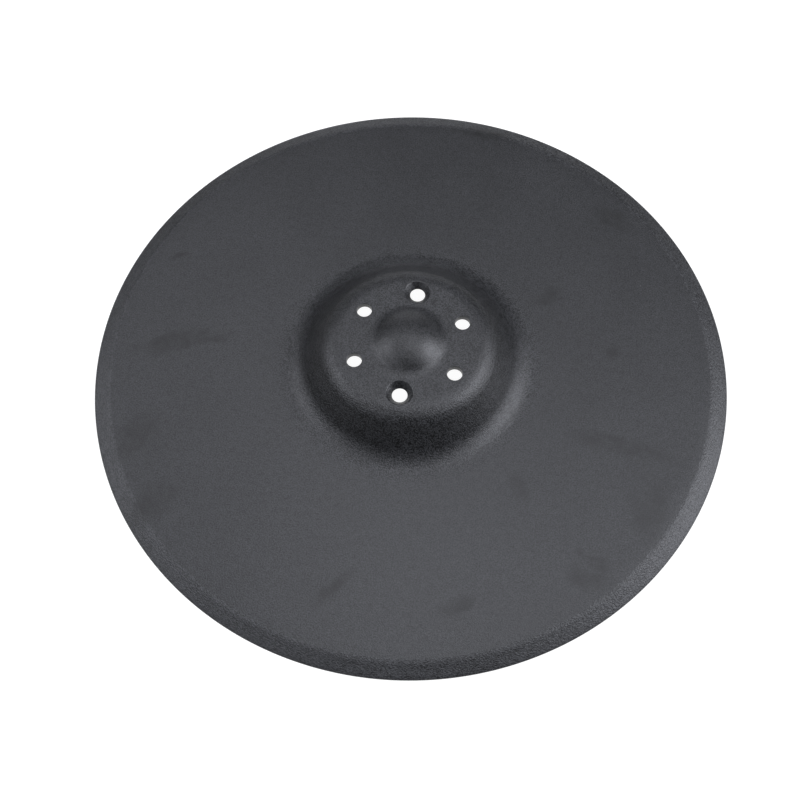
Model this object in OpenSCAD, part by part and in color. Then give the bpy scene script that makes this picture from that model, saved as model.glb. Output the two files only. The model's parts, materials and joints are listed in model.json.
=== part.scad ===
// Opener disc for a seed planter: one round steel blade, pressed from flat sheet.
// The hub is drawn up out of the sheet, with a low dome in its middle, and the rim is ground to an edge.
// The disc lies on its back on the XY plane. Its axis is Z, and the hub and the bevel face +Z.

/* [Blade] */
// Outside diameter of the disc
disc_d = 380; // [300:1:460]
// Thickness of the sheet, the same in the blade, the hub and the dome
sheet_t = 4; // [2.5:0.1:6]
// Width of the ground bevel along the radius
bevel_w = 9; // [4:0.5:20]
// Thickness left at the cutting edge
edge_t = 1.2; // [0.5:0.1:2.4]

/* [Hub] */
// Height of the hub's flat top above the top of the blade
hub_rise = 21.2; // [14:0.1:28]
// Diameter of the hub's flat, out to the start of its shoulder
seat_d = 80.4; // [78:0.1:90]
// Diameter at which the root of the hub runs out into the flat blade
hub_d = 153; // [146:0.5:180]
// Inside radius of the shoulder bend, on the underside
shoulder_r = 13; // [4:0.5:16]
// Inside radius of the root bend, on the top side
root_r = 20.6; // [8:0.1:24.5]

/* [Dome] */
// Diameter at which the root of the dome runs out into the hub's flat
dome_d = 51; // [45:0.5:52]
// Height of the dome above the hub's flat
dome_rise = 7.4; // [4:0.1:10]
// Inside radius of the dome's crown, on the underside
crown_r = 30; // [10:0.5:36]
// Inside radius of the bend round the foot of the dome, on the top side
dome_root_r = 13; // [4:0.5:13.5]

/* [Bolt holes] */
// Number of holes on the bolt circle
hole_count = 6; // [4:2:8]
// Diameter of the bolt circle
bolt_circle_d = 68; // [64:0.5:70]
// Diameter of each hole
hole_d = 9; // [6:0.1:10]
// Diameter of the countersink on the two opposite holes that take countersunk screws
sink_d = 15.5; // [12:0.1:16]
// Included angle of the countersink
sink_angle = 90; // [82:1:100]

/* [Hidden] */
$fn = 128;

// How far a cut runs past the face that it opens
cut = 1;
// Half the size of a square that reaches past any bend
reach = disc_d;

// Radii at which the sheet turns
disc_r = disc_d / 2;
seat_r = seat_d / 2;
hub_r = hub_d / 2;
dome_r = dome_d / 2;

// Heights of the underside of the hub's flat and of the middle of the dome
seat_z = hub_rise;
crown_z = hub_rise + dome_rise;

// A step in the sheet is a bend down, a straight wall and a bend up, over a run and a rise.
// The bends' radii are taken on one side of the sheet, so one of the inside radii gains the sheet.
function largest_radii(run, rise) = (run * run + rise * rise) / (2 * rise);
function wall_length(run, rise, radii) = sqrt(max(0, run * run + rise * rise - 2 * radii * rise));
function wall_angle(run, rise, radii) =
    atan2(radii, wall_length(run, rise, radii)) - atan2(radii - rise, run);

// Hub step: the root bend gives way where the wall is too short for it
hub_run = hub_r - seat_r;
hub_root_r = min(root_r, largest_radii(hub_run, hub_rise) - shoulder_r - sheet_t);
hub_radii = shoulder_r + sheet_t + hub_root_r;
hub_angle = wall_angle(hub_run, hub_rise, hub_radii);
hub_wall = wall_length(hub_run, hub_rise, hub_radii);

// Dome step: its crown bends on the disc's axis
dome_foot_r = min(dome_root_r, largest_radii(dome_r, dome_rise) - crown_r - sheet_t);
dome_radii = crown_r + sheet_t + dome_foot_r;
dome_angle = wall_angle(dome_r, dome_rise, dome_radii);
dome_wall = wall_length(dome_r, dome_rise, dome_radii);

// Countersink: the cone is carried on past the face at its own angle
sink_slope = tan(sink_angle / 2);
sink_depth = (sink_d - hole_d) / 2 / sink_slope;

// A flat stretch of the sheet's section. What follows starts at its end.
module flat(length) {
    square([length, sheet_t]);
    translate([length, 0]) children();
}

// Part of a ring of sheet about the origin, from straight up to a turn of angle towards +X
module ring_part(inside_r, angle) {
    intersection() {
        difference() {
            circle(r = inside_r + sheet_t);
            circle(r = inside_r);
        }
        translate([0, -reach]) square([reach, 2 * reach]);
        rotate(-angle) translate([-reach, -reach]) square([reach, 2 * reach]);
    }
}

// A bend towards the underside
module bend_down(inside_r, angle) {
    translate([0, -inside_r]) {
        ring_part(inside_r, angle);
        rotate(-angle) translate([0, inside_r]) children();
    }
}

// A bend towards the top side
module bend_up(inside_r, angle) {
    translate([0, sheet_t + inside_r]) {
        mirror([0, 1]) ring_part(inside_r, angle);
        rotate(angle) translate([0, -sheet_t - inside_r]) children();
    }
}

// The flat blade, out to its ground edge
module blade_section() {
    blade_w = disc_r - hub_r;
    polygon([
        [0, 0],
        [blade_w, 0],
        [blade_w, edge_t],
        [blade_w - bevel_w, sheet_t],
        [0, sheet_t],
    ]);
}

// Half of the disc's section, followed from its axis out to its edge
module disc_section() {
    translate([0, crown_z])
        bend_down(crown_r, dome_angle) flat(dome_wall) bend_up(dome_foot_r, dome_angle)
        flat(seat_r - dome_r)
        bend_down(shoulder_r, hub_angle) flat(hub_wall) bend_up(hub_root_r, hub_angle)
        blade_section();
}

// A hole through the hub's flat, in the middle of the bolt circle's stretch on +Y
module bolt_hole() {
    translate([0, bolt_circle_d / 2, seat_z - cut])
        cylinder(d = hole_d, h = sheet_t + 2 * cut);
}

// The countersink of that hole, open on the top side
module countersink() {
    translate([0, bolt_circle_d / 2, seat_z + sheet_t - sink_depth])
        cylinder(d1 = hole_d, d2 = sink_d + 2 * cut * sink_slope, h = sink_depth + cut);
}

module disc_blade() {
    color([0.27, 0.28, 0.29])
    difference() {
        rotate_extrude() disc_section();
        for (i = [0 : hole_count - 1]) rotate(i * 360 / hole_count) bolt_hole();
        for (turn = [0, 180]) rotate(turn) countersink();
    }
}

disc_blade();
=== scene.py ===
# %% [markdown]
# # A planter's opener disc, pressed from one sheet of steel
#
# The object is a round steel blade that cuts the furrow for seed. Its hub is drawn up out of the flat
# sheet, a low dome sits in the middle of the hub, six screw holes go through the hub's flat, and the
# rim is ground to an edge. All of it wears one satin charcoal coating.
#
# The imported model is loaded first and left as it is. Everything below is built in its frame, in
# metres, with the disc's axis on Z and its hub up.

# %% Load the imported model
import json
import math

import bmesh
import bpy
from mathutils import Matrix, Vector


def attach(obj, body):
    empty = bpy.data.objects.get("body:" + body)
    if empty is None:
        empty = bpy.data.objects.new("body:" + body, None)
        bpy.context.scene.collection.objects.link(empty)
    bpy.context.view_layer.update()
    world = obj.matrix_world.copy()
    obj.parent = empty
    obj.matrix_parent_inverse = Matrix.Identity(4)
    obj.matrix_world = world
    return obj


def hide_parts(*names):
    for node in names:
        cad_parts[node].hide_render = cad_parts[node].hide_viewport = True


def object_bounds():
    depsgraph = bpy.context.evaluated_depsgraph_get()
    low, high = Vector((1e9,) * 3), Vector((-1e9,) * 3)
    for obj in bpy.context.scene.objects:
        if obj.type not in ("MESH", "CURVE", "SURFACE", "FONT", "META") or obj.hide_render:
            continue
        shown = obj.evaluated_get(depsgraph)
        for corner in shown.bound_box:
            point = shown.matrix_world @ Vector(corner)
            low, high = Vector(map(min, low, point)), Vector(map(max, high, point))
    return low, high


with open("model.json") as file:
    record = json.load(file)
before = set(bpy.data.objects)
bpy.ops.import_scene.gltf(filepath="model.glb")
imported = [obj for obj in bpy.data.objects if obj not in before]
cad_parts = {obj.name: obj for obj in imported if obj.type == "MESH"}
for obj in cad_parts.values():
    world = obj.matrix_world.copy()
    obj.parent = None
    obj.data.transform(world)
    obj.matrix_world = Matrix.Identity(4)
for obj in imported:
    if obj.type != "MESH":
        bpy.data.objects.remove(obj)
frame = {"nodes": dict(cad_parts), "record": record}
cad_low, cad_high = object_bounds()
scene = bpy.context.scene
print("packed model:", sorted(frame["nodes"]), "size", [round(x, 4) for x in cad_high - cad_low])

# %% [markdown]
# ## Sizes
#
# A pressed part has few sizes: the blank, the sheet's thickness, and the radii of the bends. What the
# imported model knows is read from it: the outside size, the screw circle and the height of the hub's
# seat. The rest are the bends' own radii, named here once.

# %% The sizes of the sheet and its bends
MM = 0.001
mounts = {mount["name"]: mount for mount in frame["record"]["mounts"]}
screw_pattern = mounts["hub_bolts"]["dims"]

disc_r = cad_high.x
apex_z = cad_high.z
seat_z = mounts["hub_seat"]["pos_m"][2]
hole_count = screw_pattern["count"]
screw_circle_r = screw_pattern["pcd_mm"] / 2 * MM
hole_r = screw_pattern["hole_r_mm"] * MM

sheet_t = 4 * MM
bevel_w = 9 * MM
edge_t = 1.2 * MM
seat_r = 40.2 * MM
hub_r = 76.5 * MM
shoulder_r = 13 * MM
root_r = 20.6 * MM
dome_r = 25.5 * MM
crown_r = 30 * MM
dome_root_r = 13 * MM
sink_r = 7.75 * MM
sink_angle = math.radians(90)

hub_rise = seat_z
dome_rise = apex_z - sheet_t - seat_z
print(f"disc {2 * disc_r:.3f} m across, hub {hub_rise:.4f} m high, dome {dome_rise:.4f} m more")

# %% [markdown]
# ## The camera
#
# The disc was seen from above and from close by, so the near side is drawn a little larger than the
# far side. The camera is described the way a photographer would do it: how far round, how high, how
# far away, what it aims at, and a slight roll. Multiplying plain rotations and shifts in that order
# gives its place, which is easier to follow than a list of angles. The numbers come from a fit to the
# disc's outlines in the photo.

# %% Camera
camera_azimuth = math.radians(11.19)
camera_elevation = math.radians(64.1)
camera_roll = math.radians(-2.27)
camera_distance = 0.6
camera_aim = Vector((-0.0065, -0.0258, 0))
sensor_w = 36
image_w = 800
focal_px = 1006

studio_turn = Matrix.Rotation(camera_azimuth, 4, "Z")
camera_data = bpy.data.cameras.new("camera")
camera_data.sensor_width = sensor_w
camera_data.lens = sensor_w * focal_px / image_w
camera = bpy.data.objects.new("camera", camera_data)
camera.matrix_world = (
    studio_turn
    @ Matrix.Translation(camera_aim)
    @ Matrix.Rotation(math.pi / 2 - camera_elevation, 4, "X")
    @ Matrix.Translation((0, 0, camera_distance))
    @ Matrix.Rotation(camera_roll, 4, "Z")
)
scene.collection.objects.link(camera)
scene.camera = camera
print("camera at", [round(x, 3) for x in camera.matrix_world.translation], "lens", camera_data.lens)

# %% [markdown]
# ## The section of the sheet
#
# Pressing bends a sheet without thinning it much, so its section is a chain of straight stretches and
# round bends, and both sides follow the same chain a sheet's thickness apart. It could be typed in as
# a long list of points. It is drawn instead as the press makes it: one vertex is extruded along each
# straight stretch and spun round the centre of each bend. The angle of each wall follows from how far
# the step runs, how far it rises, and the radii of its two bends.

# %% Drawing one side of the sheet
bend_step = math.radians(2.6)


def step_wall(run, rise, radii):
    """Length and angle of the straight wall between a step's two bends."""
    length = math.sqrt(run * run + rise * rise - 2 * radii * rise)
    angle = math.atan2(radii, length) - math.atan2(radii - rise, run)
    return length, angle


def draw_flat(bm, tip, heading, length, cuts=1):
    """Carry the tip straight on, in equal cuts."""
    stride = Vector((math.cos(heading), 0, -math.sin(heading))) * (length / cuts)
    for _ in range(cuts):
        tip = bmesh.ops.extrude_vert_indiv(bm, verts=[tip])["verts"][0]
        bmesh.ops.translate(bm, verts=[tip], vec=stride)
    return tip


def draw_bend(bm, tip, heading, radius, turn):
    """Spin the tip round a bend. A turn above zero bends down. Returns the tip and its new heading."""
    towards_centre = Vector((-math.sin(heading), 0, -math.cos(heading))) * math.copysign(radius, turn)
    steps = math.ceil(abs(turn) / bend_step)
    spun = bmesh.ops.spin(
        bm, geom=[tip], cent=tip.co + towards_centre, axis=(0, 1, 0), angle=turn, steps=steps
    )
    tip = next(part for part in spun["geom_last"] if isinstance(part, bmesh.types.BMVert))
    return tip, heading + turn


print(f"bends are drawn in steps of up to {math.degrees(bend_step):.1f} degrees")

# %% [markdown]
# Both sides start on the disc's axis, at the middle of the dome. On the top side a bend downwards has
# the larger radius, and on the underside a bend upwards has it. The flat of the hub is cut into rows,
# because the screw holes go into that grid later. The top side ends in the ground bevel and the thin
# edge, where it meets the underside.

# %% The closed half section
dome_wall, dome_angle = step_wall(dome_r, dome_rise, crown_r + sheet_t + dome_root_r)
hub_wall, hub_angle = step_wall(hub_r - seat_r, hub_rise, shoulder_r + sheet_t + root_r)

wall_cuts = 5
flat_rows = 16
blade_cuts = 12
bevel_cuts = 4
section_weld = 0.01 * MM


def draw_side(bm, start_z, outer_t, inner_t, blade_end_r):
    """One side of the sheet from the axis to blade_end_r. outer_t and inner_t widen its bends."""
    tip = bm.verts.new((0, 0, start_z))
    tip, heading = draw_bend(bm, tip, 0, crown_r + outer_t, dome_angle)
    tip = draw_flat(bm, tip, heading, dome_wall, cuts=wall_cuts)
    tip, heading = draw_bend(bm, tip, heading, dome_root_r + inner_t, -dome_angle)
    tip = draw_flat(bm, tip, heading, seat_r - dome_r, cuts=flat_rows)
    tip, heading = draw_bend(bm, tip, heading, shoulder_r + outer_t, hub_angle)
    tip = draw_flat(bm, tip, heading, hub_wall, cuts=wall_cuts)
    tip, heading = draw_bend(bm, tip, heading, root_r + inner_t, -hub_angle)
    return draw_flat(bm, tip, heading, blade_end_r - hub_r, cuts=blade_cuts)


disc = bmesh.new()
bevel_top = draw_side(disc, apex_z, sheet_t, 0, disc_r - bevel_w)
bevel_slope = math.atan2(sheet_t - edge_t, bevel_w)
bevel_length = math.hypot(sheet_t - edge_t, bevel_w)
edge_top = draw_flat(disc, bevel_top, bevel_slope, bevel_length, bevel_cuts)
draw_flat(disc, edge_top, math.pi / 2, edge_t)
draw_side(disc, apex_z - sheet_t, 0, sheet_t, disc_r)
bmesh.ops.remove_doubles(disc, verts=disc.verts, dist=section_weld)
print(f"half section: {len(disc.verts)} points, hub wall at {math.degrees(hub_angle):.2f} degrees")

# %% [markdown]
# ## The disc
#
# Spinning the section once round Z gives the whole pressed disc. The number of steps is a multiple of
# six, so that every screw hole meets the grid in the same way. The points on the axis come out many
# times over, so they are merged, and then the faces are turned outwards.

# %% Spin the section
spin_steps = 288
axis_weld = 0.001 * MM
bmesh.ops.spin(
    disc,
    geom=disc.verts[:] + disc.edges[:],
    cent=(0, 0, 0),
    axis=(0, 0, 1),
    angle=2 * math.pi,
    steps=spin_steps,
    use_merge=True,
)
bmesh.ops.remove_doubles(disc, verts=disc.verts, dist=axis_weld)
bmesh.ops.recalc_face_normals(disc, faces=disc.faces)
print(f"spun disc: {len(disc.faces)} faces, {disc.calc_volume() * 1e6:.1f} cm3")

# %% [markdown]
# ## The screw holes
#
# Each hole goes through both sides of the hub's flat, and two opposite ones are countersunk from the
# top, so wide that their mouths run out onto the shoulder. A boolean would cut them, but it leaves long
# thin faces that shade badly. Here a window is taken out of the grid on each side of the sheet, and its
# edges are extruded onto rings round the hole's axis. A ring just outside each rim keeps the flat truly
# flat up to it.

# %% Windows and rings
top_z = seat_z + sheet_t
rim_margin = 0.4 * MM
sink_slope = math.tan(sink_angle / 2)
sink_depth = (sink_r - hole_r) / sink_slope


def hub_top_z(spot):
    """Height of the hub's top side at a spot on its flat or on the start of its shoulder."""
    bend_r = shoulder_r + sheet_t
    past_flat = max(0, spot.length - seat_r)
    return top_z - bend_r + math.sqrt(bend_r**2 - past_flat**2)


def open_window(bm, middle, in_r, out_r, half_angle, upward):
    """Take the faces round one hole out of one side of the sheet. Returns the edges left round it."""
    faces = set()
    for face in bm.faces:
        spot = face.calc_center_median().xy
        on_side = (face.normal.z > 0) == upward
        if on_side and in_r < spot.length < out_r and middle.angle(spot) < half_angle:
            faces.add(face)
    edges = {edge for face in faces for edge in face.edges}
    edges = [edge for edge in edges if len(faces.intersection(edge.link_faces)) == 1]
    bmesh.ops.delete(bm, geom=list(faces), context="FACES")
    return edges


def cast_ring(bm, edges, middle, radius, z=None):
    """Extrude a loop of edges onto a ring, at height z or else on the hub's top side.

    Where the shoulder falls away, the ring draws in with the cone of the countersink.
    """
    made = bmesh.ops.extrude_edge_only(bm, edges=edges)["geom"]
    for vert in (part for part in made if isinstance(part, bmesh.types.BMVert)):
        outward = (vert.co.xy - middle).normalized()
        spot = middle + outward * radius
        if z is None:
            spot -= outward * (top_z - hub_top_z(spot)) * sink_slope
        vert.co = (spot.x, spot.y, hub_top_z(spot) if z is None else z)
    return [part for part in made if isinstance(part, bmesh.types.BMEdge) and part.is_boundary]


print(f"countersinks {sink_depth:.5f} m deep, each rim with a ring {rim_margin:.4f} m outside it")

# %% [markdown]
# From the top, the rings go from the window to the mouth and, in a countersunk hole, down the cone to
# its throat. From the underside they go to the rim where the hole comes out. Those two ends lie over
# each other, so one bridge closes the wall of the hole.

# %% Cut the holes
plain_in_r = 28.2 * MM
plain_half_angle = math.radians(11)
sink_half_angle = math.radians(15)
sink_tilt = math.radians(10)

sharp_rims = []
for i in range(hole_count):
    turn = math.pi / 2 + i * 2 * math.pi / hole_count
    middle = Vector((math.cos(turn), math.sin(turn))) * screw_circle_r
    if i % (hole_count // 2) == 0:
        in_r, half_angle, tilt, mouth_r = dome_r, sink_half_angle, sink_tilt, sink_r
    else:
        in_r, half_angle, tilt, mouth_r = plain_in_r, plain_half_angle, 0, hole_r
    upper_r = seat_r + (shoulder_r + sheet_t) * math.sin(tilt)
    lower_r = seat_r + shoulder_r * math.sin(tilt)
    upper = open_window(disc, middle, in_r, upper_r, half_angle, upward=True)
    lower = open_window(disc, middle, in_r, lower_r, half_angle, upward=False)
    upper = cast_ring(disc, upper, middle, mouth_r + rim_margin)
    rims = [cast_ring(disc, upper, middle, mouth_r)]
    if mouth_r > hole_r:
        rims.append(cast_ring(disc, rims[-1], middle, hole_r, top_z - sink_depth))
    lower = cast_ring(disc, lower, middle, hole_r + rim_margin, seat_z)
    rims.append(cast_ring(disc, lower, middle, hole_r, seat_z))
    bmesh.ops.bridge_loops(disc, edges=rims[-2] + rims[-1])
    sharp_rims += rims
bmesh.ops.recalc_face_normals(disc, faces=disc.faces)
open_edges = [edge for edge in disc.edges if not edge.is_manifold]
print(f"{hole_count} holes cut, {len(open_edges)} open edges, {len(disc.faces)} faces")

# %% [markdown]
# ## Soft edges
#
# No edge on a coated part is truly sharp: the coating draws back from it and rounds it. A bevel of a
# few tenths of a millimetre catches the light along the holes and the cutting edge. The line where
# the ground bevel leaves the flat is softer, because grinding and coating blur it.

# %% Round the edges
hole_round = 0.3 * MM
edge_round = 0.35 * MM
crease_round = 1.5 * MM
fine_segments = 3
crease_segments = 4
ring_tolerance = 0.01 * MM


def ring_edges(bm, radius, z):
    """The edges that lie on one circle round the disc's axis."""
    def on_ring(vert):
        off_circle = abs(vert.co.xy.length - radius)
        return max(off_circle, abs(vert.co.z - z)) < ring_tolerance
    return [edge for edge in bm.edges if on_ring(edge.verts[0]) and on_ring(edge.verts[1])]


def round_off(bm, edges, width, segments):
    """Round edges off, each in a number of segments."""
    bmesh.ops.bevel(
        bm,
        geom=edges,
        offset=width,
        segments=segments,
        profile=0.5,
        affect="EDGES",
        material=-1,
        clamp_overlap=True,
    )


crease = ring_edges(disc, disc_r - bevel_w, sheet_t)
cutting_edge = ring_edges(disc, disc_r, edge_t) + ring_edges(disc, disc_r, 0)
round_off(disc, [edge for rim in sharp_rims for edge in rim], hole_round, fine_segments)
round_off(disc, cutting_edge, edge_round, fine_segments)
round_off(disc, crease, crease_round, crease_segments)
bmesh.ops.recalc_face_normals(disc, faces=disc.faces)
print(f"rounded disc: {len(disc.faces)} faces, {disc.calc_volume() * 1e6:.1f} cm3")

# %% [markdown]
# The mesh becomes one piece. It stands for the imported blade and rides on the same body. The ground
# bevel and the edge get a material of their own, because the coating lies rougher there.

# %% Make the piece
PRESSED, GROUND = 0, 1
rim_start = disc_r - bevel_w - crease_round
faces_down = -0.5
for face in disc.faces:
    face.smooth = True
    on_rim = face.calc_center_median().xy.length > rim_start
    face.material_index = GROUND if on_rim and face.normal.z > faces_down else PRESSED
ground_count = sum(face.material_index == GROUND for face in disc.faces)
disc_mesh = bpy.data.meshes.new("coated_disc")
disc.to_mesh(disc_mesh)
disc.free()
coated_disc = bpy.data.objects.new("coated_disc", disc_mesh)
scene.collection.objects.link(coated_disc)
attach(coated_disc, "root")
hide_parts("disc_blade")
print(f"one piece with {len(disc_mesh.polygons)} faces, {ground_count} of them on the ground rim")

# %% [markdown]
# ## Building blocks for the finish
#
# A material is a tree of nodes. Adding each node and link by hand takes many lines, so five small
# helpers do it. One adds a node with its settings and inputs, one does sums, and one carries a value
# from one range to another. The last two start a material and a node group with named sockets. A group
# is an effect that more than one material can use.

# %% Helpers for shader nodes


def add_node(tree, kind, settings=None, **inputs):
    """Add a node. An input is named with _ for a space, or with a number, and gets a value or a link."""
    node = tree.nodes.new(kind)
    for name, value in (settings or {}).items():
        setattr(node, name, value)
    for name, value in inputs.items():
        key = int(name[1:]) if name[1:].isdigit() else name.replace("_", " ")
        if isinstance(value, bpy.types.NodeSocket):
            tree.links.new(value, node.inputs[key])
        else:
            node.inputs[key].default_value = value
    return node


def calculate(tree, operation, *values):
    """A Math node on up to three values. Returns its result."""
    numbered = {f"_{i}": value for i, value in enumerate(values)}
    return add_node(tree, "ShaderNodeMath", {"operation": operation}, **numbered).outputs[0]


def remap(tree, value, low, high, to_low, to_high, smooth=True):
    """Carry a value from one range to another, held at both ends. Returns its result."""
    kind = {"interpolation_type": "SMOOTHSTEP" if smooth else "LINEAR"}
    ends = dict(From_Min=low, From_Max=high, To_Min=to_low, To_Max=to_high)
    return add_node(tree, "ShaderNodeMapRange", kind, Value=value, **ends).outputs[0]


def new_material(name):
    """Start a material with an empty tree. Returns both."""
    material = bpy.data.materials.new(name)
    material.use_nodes = True
    material.node_tree.nodes.clear()
    return material, material.node_tree


def new_group(name, inputs, outputs):
    """Start a node group. Returns its tree, its input sockets and the node that takes its results."""
    tree = bpy.data.node_groups.new(name, "ShaderNodeTree")
    for sockets, in_out in ((inputs, "INPUT"), (outputs, "OUTPUT")):
        for socket, kind in sockets.items():
            tree.interface.new_socket(socket, in_out=in_out, socket_type=kind)
    return tree, tree.nodes.new("NodeGroupInput").outputs, tree.nodes.new("NodeGroupOutput").inputs


NUMBER, VECTOR = "NodeSocketFloat", "NodeSocketVector"
print("helpers for nodes, sums, ranges, materials and groups are ready")

# %% [markdown]
# ## Powder grain
#
# A powder coat is sprayed on as dust and melts into a skin of tiny pebbles on a slower swell, which
# painters call orange peel. Two noises at different sizes give both, and their sum is the height for
# the bump. The coating also shifts its tone with it, darker in the hollows and lighter on the pebbles,
# which is partly the grain's own speckle and partly painted shade and painted highlight on the relief.
# It swings round zero, so that a material can scale it without a shift.

# %% Powder grain group
noise_middle = 0.5
swell_scale = 0.2
swell_height = 0.15
powder_grain, given, result = new_group(
    "powder_grain", {"Vector": VECTOR, "Size": NUMBER}, {"Height": NUMBER}
)
per_metre = calculate(powder_grain, "DIVIDE", 1, given["Size"])
swell_per_metre = calculate(powder_grain, "MULTIPLY", per_metre, swell_scale)
fine = add_node(
    powder_grain, "ShaderNodeTexNoise", Vector=given["Vector"], Scale=per_metre, Detail=2, Roughness=0.6
)
swell = add_node(
    powder_grain, "ShaderNodeTexNoise", Vector=given["Vector"], Scale=swell_per_metre, Detail=1
)
pebbles = calculate(powder_grain, "SUBTRACT", fine.outputs[0], noise_middle)
peel = calculate(powder_grain, "SUBTRACT", swell.outputs[0], noise_middle)
height = calculate(powder_grain, "MULTIPLY_ADD", peel, swell_height, pebbles)
powder_grain.links.new(height, result["Height"])
print("powder grain from", len(powder_grain.nodes), "nodes")

# %% [markdown]
# ## Uneven sheen
#
# A sprayed coat is never equally thick, and where it is thin it looks darker and a little shinier. A slow
# noise with several octaves stands for the thickness. It drives both the tone and the roughness, so the
# two change together, as they do on a real part.

# %% Uneven sheen group
sheen_scale = 22
thin, thick = 0.3, 0.7
sheen_ranges = {"Tone": (0.88, 1.12), "Roughness": (0.36, 0.39)}
uneven_sheen, given, result = new_group(
    "uneven_sheen", {"Vector": VECTOR}, {"Tone": NUMBER, "Roughness": NUMBER}
)
slow = add_node(uneven_sheen, "ShaderNodeTexNoise", Vector=given["Vector"], Scale=sheen_scale, Detail=4)
for socket, (at_thin, at_thick) in sheen_ranges.items():
    value = remap(uneven_sheen, slow.outputs[0], thin, thick, at_thin, at_thick, smooth=False)
    uneven_sheen.links.new(value, result[socket])
print("uneven sheen from", len(uneven_sheen.nodes), "nodes")

# %% [markdown]
# ## Hand marks
#
# The disc has been picked up by its blade, and fingers left faint dull smears. Noise alone would scatter
# them anywhere, so each smear has a row of its own: its middle, its half length and half width, and its
# turn, in millimetres and degrees. The smears were picked by eye in the photo and carried onto the
# blade through the fitted camera by a small program, and some were then moved by hand.
#
# A Mapping node of the Texture kind turns a smear into a unit circle, and the distance from its middle
# fades it out. A slow noise bends the outlines and breaks them up, so none looks like an ellipse.

# %% Hand mark group
smears = (
    (-140, -9, 35, 7, 20),
    (-151, -75, 19, 12, 60),
    (-129, -113, 21, 13, 41),
    (-155, 50, 9, 4, 33),
    (77, 55, 13, 6, 31),
    (131, -39, 38, 8, -6),
    (75, -71, 11, 8, -77),
    (120, -109, 13, 6, -24),
    (118, -121, 15, 8, -13),
    (149, -76, 21, 14, 77),
    (-18, -146, 17, 5, 51),
    (50, -145, 11, 7, 29),
    (114, 122, 18, 9, -27),
    (122, 24, 8, 5, 58),
    (23, 178, 25, 6, -1),
)
bend_scale = 70
bend_reach = 16 * MM
smear_core, smear_end = 0.3, 1.15
blotch_scale = 160
blotch_low, blotch_high = 0.3, 0.65
faintest = 0.45
hand_marks, given, result = new_group("hand_marks", {"Vector": VECTOR}, {"Mask": NUMBER})
bend = add_node(hand_marks, "ShaderNodeTexNoise", Vector=given["Vector"], Scale=bend_scale, Detail=2)
bend_by = add_node(hand_marks, "ShaderNodeVectorMath", {"operation": "SUBTRACT"}, _0=bend.outputs["Color"])
bend_by.inputs[1].default_value = (noise_middle,) * 3
bent = add_node(
    hand_marks,
    "ShaderNodeVectorMath",
    {"operation": "MULTIPLY_ADD"},
    _0=bend_by.outputs[0],
    _1=(bend_reach, bend_reach, 0),
    _2=given["Vector"],
)
mask = 0
for x, y, half_length, half_width, turn in smears:
    local = add_node(
        hand_marks,
        "ShaderNodeMapping",
        {"vector_type": "TEXTURE"},
        Vector=bent.outputs[0],
        Location=(x * MM, y * MM, 0),
        Rotation=(0, 0, math.radians(turn)),
        Scale=(half_length * MM, half_width * MM, 1),
    )
    away = add_node(hand_marks, "ShaderNodeVectorMath", {"operation": "LENGTH"}, _0=local.outputs[0])
    smear = remap(hand_marks, away.outputs["Value"], smear_core, smear_end, 1, 0)
    mask = calculate(hand_marks, "MAXIMUM", smear, mask)
blotches = add_node(hand_marks, "ShaderNodeTexNoise", Vector=given["Vector"], Scale=blotch_scale, Detail=3)
broken = remap(hand_marks, blotches.outputs[0], blotch_low, blotch_high, faintest, 1)
hand_marks.links.new(calculate(hand_marks, "MULTIPLY", mask, broken), result["Mask"])
print(len(smears), "hand marks from", len(hand_marks.nodes), "nodes")

# %% [markdown]
# ## Dust
#
# A few pale specks lie on the coating. A Voronoi texture scatters one point in each cell. A speck shows
# where the distance to that point is small, and the cell's own random colour leaves most cells empty.

# %% Dust group
dust_cell = 17 * MM
speck_r = 0.34 * MM
dusty_above = 0.8
dust_specks, given, result = new_group("dust_specks", {"Vector": VECTOR}, {"Mask": NUMBER})
cells = add_node(dust_specks, "ShaderNodeTexVoronoi", Vector=given["Vector"], Scale=1 / dust_cell)
near = remap(dust_specks, cells.outputs["Distance"], 0.5 * speck_r / dust_cell, speck_r / dust_cell, 1, 0)
pick = add_node(dust_specks, "ShaderNodeSeparateColor", Color=cells.outputs["Color"]).outputs[0]
few = calculate(dust_specks, "GREATER_THAN", pick, dusty_above)
dust_specks.links.new(calculate(dust_specks, "MULTIPLY", near, few), result["Mask"])
print("dust: one cell in five has a speck, cells of", dust_cell, "m")

# %% [markdown]
# ## The coating
#
# The finish is charcoal and satin: dark in itself, with a broad soft sheen. Hand marks darken it and
# make it duller, and dust is pale and matt. Two places differ. On the hub the press has stretched the
# steel, which roughens it, so the grain grows stronger inward of the hub's root, most of all on the
# wall, and the tool leaves faint rings round the shoulder. On the rim the grinder has drawn the grain
# out along the edge, so there the pattern gets coordinates that are squeezed along the rim.

# %% Pieces of the coating
charcoal = (0.0207, 0.0212, 0.0224)
# The ground rim's charcoal is lighter than the pressed sheet's: painted light on the rim's bevel.
rim_charcoal_with_painted_light = (0.0262, 0.0268, 0.0284)
smeared = (0.0088, 0.009, 0.0091)
dust_grey = (0.16, 0.16, 0.155, 1)
stretch_grain = 1.6
seat_stretch = 0.5
ring_pitch = 3.4 * MM
ring_depth = 0.012 * MM
grind_streak = 1.6
ground_dullness = 0.04
mark_dullness = 0.05
dust_dullness = 0.3
darkest, lightest = 0.1, 1.9
coat_ior = 1.56
hub_fade = (hub_r - 6 * MM, hub_r + 8 * MM)
wall_fade = (seat_r, seat_r + 10 * MM)
rings_start = (seat_r, seat_r + 5 * MM)
rings_end = (hub_r - 22 * MM, hub_r - 14 * MM)


def blend_colour(tree, factor, first, second):
    """Mix two colours by a factor. Returns the colour."""
    mix = add_node(tree, "ShaderNodeMix", {"data_type": "RGBA"}, _0=factor, _6=first, _7=second)
    return mix.outputs[2]


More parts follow.
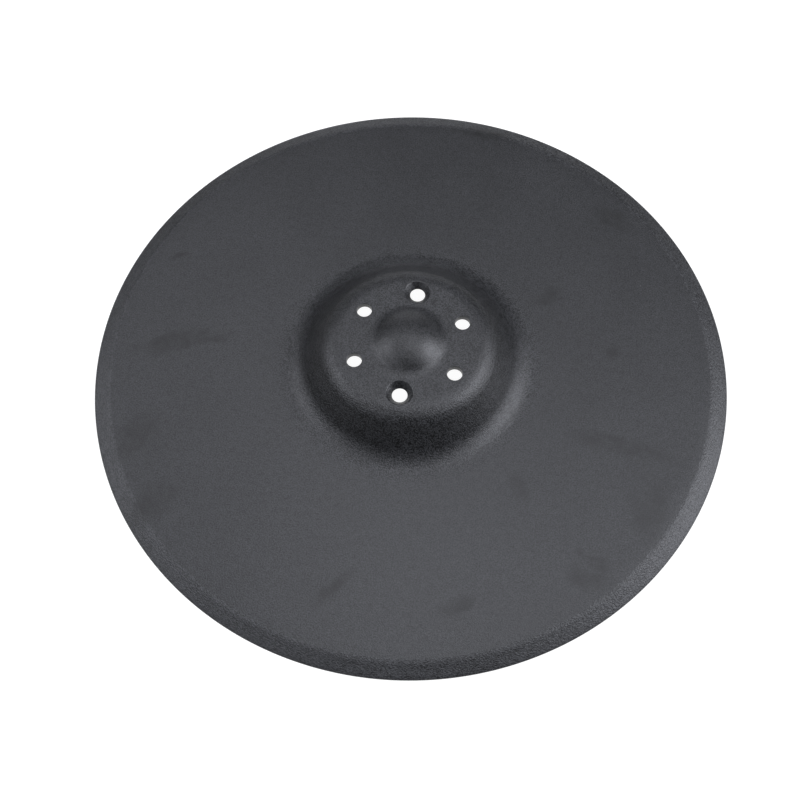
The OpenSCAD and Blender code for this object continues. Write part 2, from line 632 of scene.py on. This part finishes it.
def use_group(tree, group, **inputs):
    """Add a node group to a tree. Returns its output sockets."""
    return add_node(tree, "ShaderNodeGroup", {"node_tree": group}, **inputs).outputs


def axis_distance(tree, place):
    """How far each spot is from the disc's axis."""
    flat_place = add_node(tree, "ShaderNodeVectorMath", {"operation": "MULTIPLY"}, _0=place, _1=(1, 1, 0))
    length = add_node(tree, "ShaderNodeVectorMath", {"operation": "LENGTH"}, _0=flat_place.outputs[0])
    return length.outputs["Value"]


def drawing_rings(tree, radius):
    """Height of the faint rings that the press leaves round the hub's shoulder."""
    wave = calculate(tree, "SINE", calculate(tree, "MULTIPLY", radius, 2 * math.pi / ring_pitch))
    fade_in = remap(tree, radius, *rings_start, 0, 1)
    fade_out = remap(tree, radius, *rings_end, 1, 0)
    return calculate(tree, "MULTIPLY", wave, calculate(tree, "MULTIPLY", fade_in, fade_out))


def along_rim(tree, place):
    """Coordinates that are squeezed along the rim, which draws a pattern out along it."""
    parts = add_node(tree, "ShaderNodeSeparateXYZ", Vector=place).outputs
    turn = calculate(tree, "ARCTAN2", parts["Y"], parts["X"])
    along = calculate(tree, "MULTIPLY", turn, disc_r / grind_streak)
    across = axis_distance(tree, place)
    return add_node(tree, "ShaderNodeCombineXYZ", X=along, Y=across, Z=parts["Z"]).outputs[0]


print("charcoal", charcoal, "and on the ground rim", rim_charcoal_with_painted_light)

# %% [markdown]
# One function makes the coating for both kinds of surface, so that they can't drift apart. The tone of
# the charcoal is the product of the slow unevenness and the fine grain, whose share is partly painted
# shade in the grain's hollows, and the grain is held between a tenth and nearly twice the plain tone.
# The ground rim is a little lighter, which is painted light on its bevel, and duller, because the
# grinder's scratches break up the coat there.

# %% Coating materials


def make_coating(name, base, grain_size, grain_depth, grain_tone_and_shade_swing, ground):
    """The charcoal coating over pressed or ground steel."""
    material, tree = new_material(name)
    place = add_node(tree, "ShaderNodeTexCoord").outputs["Object"]
    sheen = use_group(tree, uneven_sheen, Vector=place)
    marks = use_group(tree, hand_marks, Vector=place)["Mask"]
    dust = use_group(tree, dust_specks, Vector=place)["Mask"]
    if ground:
        grain = use_group(tree, powder_grain, Vector=along_rim(tree, place), Size=grain_size)
        height = grain["Height"]
    else:
        grain = use_group(tree, powder_grain, Vector=place, Size=grain_size)
        radius = axis_distance(tree, place)
        on_hub = remap(tree, radius, *hub_fade, 1, 0)
        drawn = remap(tree, radius, *wall_fade, seat_stretch, 1)
        stretch = calculate(tree, "MULTIPLY", on_hub, drawn)
        stronger = calculate(tree, "MULTIPLY_ADD", stretch, stretch_grain, 1)
        height = calculate(tree, "MULTIPLY", grain["Height"], stronger)

    # The tone follows the grain's height: painted shade in its hollows and a painted highlight on its
    # pebbles, on top of the grain's own speckle.
    grain_tone_and_shade = calculate(tree, "MULTIPLY_ADD", height, grain_tone_and_shade_swing, 1)
    grain_tone_and_shade = add_node(tree, "ShaderNodeClamp", Value=grain_tone_and_shade, Min=darkest, Max=lightest).outputs[0]
    tone = calculate(tree, "MULTIPLY", grain_tone_and_shade, sheen["Tone"])
    toned = add_node(tree, "ShaderNodeVectorMath", {"operation": "SCALE"}, _0=base, Scale=tone)
    toned_mark = add_node(tree, "ShaderNodeVectorMath", {"operation": "SCALE"}, _0=smeared, Scale=tone)
    colour = blend_colour(tree, marks, toned.outputs[0], toned_mark.outputs[0])
    colour = blend_colour(tree, dust, colour, dust_grey)
    roughness = calculate(tree, "MULTIPLY_ADD", marks, mark_dullness, sheen["Roughness"])
    roughness = calculate(tree, "MULTIPLY_ADD", dust, dust_dullness, roughness)
    if ground:
        roughness = calculate(tree, "ADD", roughness, ground_dullness)

    bump = add_node(tree, "ShaderNodeBump", Height=height, Strength=1, Distance=grain_depth)
    if not ground:
        rings = drawing_rings(tree, radius)
        bump = add_node(tree, "ShaderNodeBump", Height=rings, Distance=ring_depth, Normal=bump.outputs[0])
    shader = add_node(
        tree,
        "ShaderNodeBsdfPrincipled",
        Base_Color=colour,
        Roughness=roughness,
        IOR=coat_ior,
        Normal=bump.outputs[0],
    )
    add_node(tree, "ShaderNodeOutputMaterial", Surface=shader.outputs[0])
    disc_mesh.materials.append(material)
    print(name, "has", len(tree.nodes), "nodes")


make_coating(
    "charcoal_on_pressed_sheet",
    charcoal,
    grain_size=0.78 * MM,
    grain_depth=0.1 * MM,
    grain_tone_and_shade_swing=4.5,
    ground=False,
)
make_coating(
    "charcoal_on_ground_rim",
    rim_charcoal_with_painted_light,
    grain_size=0.7 * MM,
    grain_depth=0.28 * MM,
    grain_tone_and_shade_swing=5,
    ground=True,
)

# %% [markdown]
# ## The white surround
#
# The disc lies on white paper that fills the view. White paper lit by lamps strong enough to bleach it
# would also flood the disc, so the paper glows by itself instead, but only for rays that come straight
# from the camera or from a reflection. To all other light it is plain grey paper, which keeps the
# disc's shadow.

# %% Paper floor and world


def seen_directly(tree):
    """One where the camera, a reflection or a see-through surface looks at it, and zero elsewhere."""
    path = add_node(tree, "ShaderNodeLightPath").outputs
    mirrored = calculate(tree, "MAXIMUM", path["Is Glossy Ray"], path["Is Transmission Ray"])
    return calculate(tree, "MAXIMUM", path["Is Camera Ray"], mirrored)


def add_stage(name, bm, material):
    """Make a stage object, which isn't part of the disc, from a bmesh."""
    mesh = bpy.data.meshes.new(name)
    bm.to_mesh(mesh)
    bm.free()
    mesh.materials.append(material)
    stage = bpy.data.objects.new(name, mesh)
    scene.collection.objects.link(stage)
    return stage


set_r = 2.4
set_segments = 96
paper_grey = (0.2, 0.2, 0.2, 1)
paper_glow = (0.96, 0.96, 0.96, 1)
paper, tree = new_material("white_paper")
dull = add_node(tree, "ShaderNodeBsdfDiffuse", Color=paper_grey)
glow = add_node(tree, "ShaderNodeEmission", Color=paper_glow, Strength=seen_directly(tree))
both = add_node(tree, "ShaderNodeAddShader", _0=dull.outputs[0], _1=glow.outputs[0])
add_node(tree, "ShaderNodeOutputMaterial", Surface=both.outputs[0])
floor_bm = bmesh.new()
bmesh.ops.create_circle(floor_bm, cap_ends=True, segments=set_segments, radius=set_r)
add_stage("paper_floor", floor_bm, paper)

fill_level = 0.015
world = bpy.data.worlds.new("studio")
world.use_nodes = True
scene.world = world
tree = world.node_tree
tree.nodes.clear()
level = remap(tree, seen_directly(tree), 0, 1, fill_level, 1, smooth=False)
sky = add_node(tree, "ShaderNodeBackground", Color=(1, 1, 1, 1), Strength=level)
add_node(tree, "ShaderNodeOutputWorld", Surface=sky.outputs[0])
print("floor", set_r, "m in radius, fill light", fill_level)

# %% [markdown]
# ## The tent
#
# A satin surface shows its surroundings. In a bare white room the near wall of the hub would reflect
# white and lose its shape, so a photographer hangs dark cloth round the set. The tent here is a round
# drum with a lid, nearly black all over, and the paper ends at its foot. The camera looks straight
# through it, and everything else meets it.

# %% Dark tent
tent_h = 2.6
tent_bm = bmesh.new()
bmesh.ops.create_cone(
    tent_bm,
    cap_ends=True,
    segments=set_segments,
    radius1=set_r,
    radius2=set_r,
    depth=tent_h,
    matrix=Matrix.Translation((0, 0, tent_h / 2)),
)
ground_cap = [face for face in tent_bm.faces if face.calc_center_median().z < tent_h / 4]
bmesh.ops.delete(tent_bm, geom=ground_cap, context="FACES")
cloth, tree = new_material("dark_cloth")
glow = add_node(tree, "ShaderNodeEmission", Strength=fill_level)
add_node(tree, "ShaderNodeOutputMaterial", Surface=glow.outputs[0])
tent = add_stage("tent", tent_bm, cloth)
tent.visible_camera = False
print("tent", 2 * set_r, "m across and", tent_h, "m high")

# %% [markdown]
# ## The lamps
#
# Nine softboxes stand round the set. Two on the right draw the gleam on the hub and along the right of
# the rim. One on the left and a weak one at the front left answer them. Four behind the disc, from low
# to high, give the blade its even sheen, because they are what the camera sees mirrored in it. One
# hangs straight above for the near side of the rim.
#
# Each is described by its direction from the disc, its size and how bright its face is, so that its
# power follows from its size. All are large, because a satin surface shows a small lamp as a spot. Their
# light is slightly blue, like daylight, and cools the charcoal. Their directions and levels started from
# a fit to the tones of the photo and were then tuned.

# %% Softboxes
lamp_distance = 2
box_w, box_h = 1.0, 0.7
daylight = (0.96, 0.98, 1.06)


def softbox(name, azimuth, elevation, radiance, width=box_w, height=box_h):
    """A lamp aimed at the hub. Azimuth 0 is right in the picture, and 90 is away from the camera."""
    lamp = bpy.data.lights.new(name, "AREA")
    lamp.shape = "RECTANGLE"
    lamp.size = width
    lamp.size_y = height
    lamp.color = daylight
    lamp.energy = radiance * math.pi * width * height
    box = bpy.data.objects.new(name, lamp)
    box.matrix_world = (
        studio_turn
        @ Matrix.Rotation(math.radians(azimuth + 90), 4, "Z")
        @ Matrix.Rotation(math.radians(90 - elevation), 4, "X")
        @ Matrix.Translation((0, 0, lamp_distance))
    )
    box.visible_camera = False
    scene.collection.objects.link(box)
    print(f"{name}: {lamp.energy:.1f} W at", [round(x, 2) for x in box.matrix_world.translation])


softbox("right_low_box", 0, 32, 5.6)
softbox("right_high_box", 0, 52, 8.4)
softbox("left_box", 165, 42, 5.3)
softbox("front_left_box", 210, 52, 1.8)
softbox("back_left_box", 120, 52, 1.25)
softbox("back_right_box", 60, 52, 0.7)
softbox("back_low_box", 90, 12, 0.8)
softbox("back_high_box", 90, 72, 2.4, width=0.8)
softbox("top_box", 0, 90, 2.45, width=0.8, height=0.8)

# %% [markdown]
# ## Finish
#
# The colours go to the picture as they are, without a film look.

# %% Finish
scene.view_settings.view_transform = "Standard"
